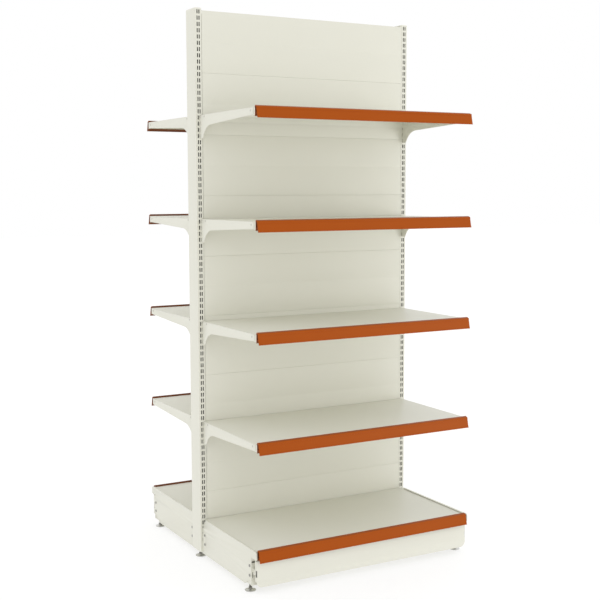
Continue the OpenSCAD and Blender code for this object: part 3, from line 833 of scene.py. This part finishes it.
boltLook = {
    "headRadius": 5.6,
    "headHeight": 2.0,
    "crown": 0.45,
    "socketRadius": 2.5,
    "socketDepth": 1.5,
    "shankRadius": 4.0,
    "nutRadius": 6.5,
    "nutHeight": 5.0,
    "tail": 2.4,
    "heights": (69.0, 108.0),
    "rearOut": 21.0,       # from the post's face
    "frontBack": 44.0,     # behind the deck's front
    "rearGrip": 5.5,
    "frontGrip": 5.0,
    "shadeShare": 0.7,         # painted shade on the bolts: how far they go from the bright plate towards the feet's darker screw colour
    "eased": 0.25,
}
rivetLook = {
    "radius": 4.2,
    "height": 0.85,
    "crown": 0.5,
    "rearOut": 43.0,       # from the post's face
    "rearDrop": 8.0,       # below the shelf
    "frontBack": 30.0,     # behind the tray's front
    "frontDrop": 11.0,
    "seat": 0.8,           # of the solid's own rivet head
    "shadeShare": 0.3,         # painted shade on the rivets: how far they go from the coat towards the dark inside colour
    "eased": 0.15,
}


def pointMesh(name, points):      # (place in millimetres, the way it faces) of each point
    mesh = bpy.data.meshes.new(name)
    mesh.from_pydata([Vector(place) * mm for place, facing in points], [], [])
    ways = mesh.attributes.new("facing", "FLOAT_VECTOR", "POINT")
    for way, (place, facing) in zip(ways.data, points):
        way.vector = facing
    return mesh


def makeBoltRecipe():
    bolt = Recipe("bolt", {
        "Head radius": 0.0065, "Head height": 0.002, "Crown": 0.0005, "Socket radius": 0.003,
        "Socket depth": 0.001, "Shank radius": 0.004, "Grip": 0.005, "Nut radius": 0.0065,
        "Nut height": 0.005, "Tail": 0.002})
    radius, height, crown = bolt.size("Head radius", "Head height", "Crown")
    socketDepth, grip, nutHeight = bolt.size("Socket depth", "Grip", "Nut height")
    prism = bolt.disc(bolt.size("Socket radius"), socketDepth * 2, 6)
    socket = bolt.place(prism, bolt.vector(z=height + crown))
    head = bolt.cut(bolt.domed(radius, height, crown), socket)
    reach = grip + nutHeight + bolt.size("Tail")
    shank = bolt.place(bolt.disc(bolt.size("Shank radius"), reach), bolt.vector(z=reach * -0.5))
    nut = bolt.disc(bolt.size("Nut radius"), nutHeight, 6)
    nut = bolt.place(nut, bolt.vector(z=grip * -1 - nutHeight * 0.5))
    return bolt.close(bolt.repeat(bolt.join(head, shank, nut), bolt.size("Geometry"), bolt.facing()))


def makeRivetRecipe():
    rivet = Recipe("rivet", {"Radius": 0.004, "Height": 0.0008, "Crown": 0.0005})
    head = rivet.domed(*rivet.size("Radius", "Height", "Crown"), 24, 4)
    return rivet.close(rivet.repeat(head, rivet.size("Geometry"), rivet.facing()))


def outerFace(node, sign):        # the face of a node away from the bay
    low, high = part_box(node)
    return (low if sign < 0 else high)[0] / mm


def frontOf(node):                # how far a node reaches from the middle of the gondola
    low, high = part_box(node)
    return max(abs(low[1]), abs(high[1])) / mm


def makeBolts(look):
    recipe = makeBoltRecipe()
    postFace = frontOf("left_upright")
    for row in ("rear", "front"):
        points = []
        for side, sideSign in sides.items():
            out = postFace + look["rearOut"]
            if row == "front":
                out = frontOf(side + "_base_deck") - look["frontBack"]
            for end, endSign in ends.items():
                face = outerFace(f"{side}_{end}_base_leg", endSign)
                for height in look["heights"]:
                    points.append(((face, sideSign * out, height), (endSign, 0, 0)))
        mesh = grow(
            recipe, pointMesh("boltPlaces", points), "zinc_steel",
            Head_radius=look["headRadius"] * mm, Head_height=look["headHeight"] * mm,
            Crown=look["crown"] * mm, Socket_radius=look["socketRadius"] * mm,
            Socket_depth=look["socketDepth"] * mm, Shank_radius=look["shankRadius"] * mm,
            Grip=look[row + "Grip"] * mm, Nut_radius=look["nutRadius"] * mm,
            Nut_height=look["nutHeight"] * mm, Tail=look["tail"] * mm)
        # painted shade: every face of the bolts is darkened by this share
        shadeFaces(mesh, lambda at, normal: look["shadeShare"])
        piece = newPiece(row + "_bolts", mesh, "frame", "zinc_steel", "leg_bolts")
        easeEdges(piece, look["eased"])


def makeRivets(look):
    recipe = makeRivetRecipe()
    postFace = frontOf("left_upright")
    for side, sideSign in sides.items():
        for level in levels[1:]:
            tray = f"{side}_{level}_tray"
            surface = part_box(tray)[1][2] / mm
            spots = [(postFace + look["rearOut"], surface - look["rearDrop"]),
                     (frontOf(tray) - look["frontBack"], surface - look["frontDrop"])]
            points = []
            for end, endSign in ends.items():
                face = outerFace(f"{side}_{level}_{end}_bracket", endSign) - endSign * look["seat"]
                for out, height in spots:
                    points.append(((face, sideSign * out, height), (endSign, 0, 0)))
            mesh = grow(
                recipe, pointMesh("rivetPlaces", points), "ivory_steel",
                Radius=look["radius"] * mm, Height=look["height"] * mm, Crown=look["crown"] * mm)
            # painted shade: every face of the rivets is darkened by this share
            shadeFaces(mesh, lambda at, normal: look["shadeShare"])
            brackets = f"{side}_{level}_brackets"
            piece = newPiece(f"{side}_{level}_rivets", mesh, brackets, "ivory_steel")
            easeEdges(piece, look["eased"])


makeBolts(boltLook)
makeRivets(rivetLook)
print("bolts and rivets ready")


# Painted shade: dark blocks behind the slots of the foot brackets and in the kick plates' upright
# corners, where there is only shade

shadeBlockLook = {             # corners across and up, in millimetres
    "levelSlot": ((489.6, 119.6), (508.6, 128.4)),
    "window": ((502.4, 58.5), (506.1, 84.5)),
    "behindDeck": (34.9, 34.1),                  # both ends of their depth
    "kickCorner": ((499.5, 71.8), (503.2, 97.9)),
    "behindKick": (7.3, 1.3),
}


def shadeBlockPiece(name, blocks, body):
    mesh = bpy.data.meshes.new(name)
    work = bmesh.new()
    for corner, opposite in blocks:
        spans = [abs(there - here) * mm for here, there in zip(corner, opposite)]
        middle = (Vector(corner) + Vector(opposite)) * mm / 2
        shaped = Matrix.Translation(middle) @ Matrix.Diagonal((*spans, 1))
        bmesh.ops.create_cube(work, size=1.0, matrix=shaped)
    work.to_mesh(mesh)
    work.free()
    # painted shade: every face of a block takes the dark inside colour
    shadeFaces(mesh, lambda at, normal: True)
    newPiece(name, mesh, body, "ivory_steel")


def makeShadeBlocks(look):
    def block(key, face, depths, sideSign, endSign):
        corners = zip(look[key], depths)
        return [(endSign * across, sideSign * (face - depth), up) for (across, up), depth in corners]

    bracketBlocks = []
    for side, sideSign in sides.items():
        kickBlocks = []
        for endSign in ends.values():
            for key in ("levelSlot", "window"):
                face = frontOf(side + "_base_deck")
                bracketBlocks.append(block(key, face, look["behindDeck"], sideSign, endSign))
            face = frontOf(side + "_kick_plate")
            kickBlocks.append(block("kickCorner", face, look["behindKick"], sideSign, endSign))
        shadeBlockPiece(side + "_kick_shade_blocks", kickBlocks, side + "_kick")
    shadeBlockPiece("foot_bracket_shade_blocks", bracketBlocks, "frame")


makeShadeBlocks(shadeBlockLook)
print("shade blocks ready")


# Levelling feet: a pressed pad, a hexagon collar and a threaded screw

footLook = {
    "padRadius": 22.0,
    "padEdge": 3.0,
    "padHeight": 8.0,
    "collarRadius": 8.0,
    "collarHeight": 6.0,
    "screwRadius": 5.0,
    "threadPitch": 1.5,
    "threadDepth": 0.8,
    "padCurve": 1.4,       # 1 is a straight cone, more is hollower
    "padMargin": 0.1,      # what stands higher than the pad by this is the screw
}


def makeFootRecipe():
    foot = Recipe("levellingFoot", {
        "Pad radius": 0.022, "Pad edge": 0.003, "Pad height": 0.008, "Collar radius": 0.008,
        "Collar height": 0.006, "Screw radius": 0.005, "Screw top": 0.064, "Thread pitch": 0.0015,
        "Thread depth": 0.0008, "Pad curve": 1.4})
    radius, edge, padHeight = foot.size("Pad radius", "Pad edge", "Pad height")
    collarRadius, collarHeight = foot.size("Collar radius", "Collar height")
    screwRadius, top = foot.size("Screw radius", "Screw top")
    pitch, depth = foot.size("Thread pitch", "Thread depth")

    x, y, z = foot.here()
    reach = (x * x + y * y) ** 0.5
    slope = foot.calc("MINIMUM", (radius - reach) / (radius - collarRadius), 1.0)
    rise = slope ** foot.size("Pad curve") * (padHeight - edge) * (z > 0.0)
    pad = foot.shaped(foot.disc(radius, edge, 64, 14), foot.vector(x, y, z + rise))
    pad = foot.place(pad, foot.vector(z=edge * 0.5))
    collar = foot.disc(collarRadius, collarHeight, 6)
    collar = foot.place(collar, foot.vector(z=padHeight + collarHeight * 0.5))

    core = screwRadius - depth
    low = padHeight + collarHeight
    stem = foot.place(foot.disc(core, top - padHeight, 24), foot.vector(z=(top + padHeight) * 0.5))
    length = top - low - pitch
    spiral = foot.out(foot.add("GeometryNodeCurveSpiral", {}, {
        "Resolution": 20, "Rotations": length / pitch, "Start Radius": core, "End Radius": core,
        "Height": length}))
    thread = foot.out(foot.add("GeometryNodeCurveToMesh", {}, {
        "Curve": spiral, "Profile Curve": foot.ring(depth * 0.95, 4), "Fill Caps": True}))
    thread = foot.place(thread, foot.vector(z=low + pitch * 0.5))
    return foot.close(foot.join(pad, collar, stem, thread))


def makeFeet(look):
    recipe = makeFootRecipe()
    for row in ("front", "middle", "rear"):
        for end in ends:
            node = f"{row}_{end}_foot"
            low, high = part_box(node)
            mesh = grow(
                recipe, bpy.data.meshes.new("footPlace"), "zinc_steel",
                Pad_radius=look["padRadius"] * mm, Pad_edge=look["padEdge"] * mm,
                Pad_height=look["padHeight"] * mm, Collar_radius=look["collarRadius"] * mm,
                Collar_height=look["collarHeight"] * mm, Screw_radius=look["screwRadius"] * mm,
                Screw_top=high[2], Thread_pitch=look["threadPitch"] * mm,
                Thread_depth=look["threadDepth"] * mm, Pad_curve=look["padCurve"])
            # the collar and the screw above the pad take the darker screw colour
            shadeFaces(mesh, lambda at, normal: at.z > look["padHeight"] + look["padMargin"])
            middle = [(low[axis] + high[axis]) / 2 for axis in range(2)]
            mesh.transform(Matrix.Translation((*middle, 0)))
            newPiece(f"{row}_{end}_levelling_foot", mesh, bodyOf[node], "zinc_steel", node)


makeFeet(footLook)
print("feet ready")


# Everything else follows its solid, with eased edges

def easedMesh(node, name):
    mesh = nodes[node].data.copy()
    mesh.name = name
    mesh.materials.clear()
    work = bmesh.new()
    work.from_mesh(mesh)
    bmesh.ops.remove_doubles(work, verts=work.verts, dist=edgeLook["weld"] * mm)
    flat = math.radians(edgeLook["flat"])
    bmesh.ops.dissolve_limit(work, angle_limit=flat, verts=work.verts, edges=work.edges)
    work.to_mesh(mesh)
    work.free()
    return mesh


def easedPiece(node):
    piece = newPiece(node + "_eased", easedMesh(node, node), bodyOf[node], slotOf[node], node)
    easeEdges(piece)


madeAbove = ("_panels", "_ticket_strip", "_upright", "_foot", "leg_bolts")
for node in sorted(nodes):
    if not node.endswith(madeAbove):
        easedPiece(node)
print("eased pieces ready")
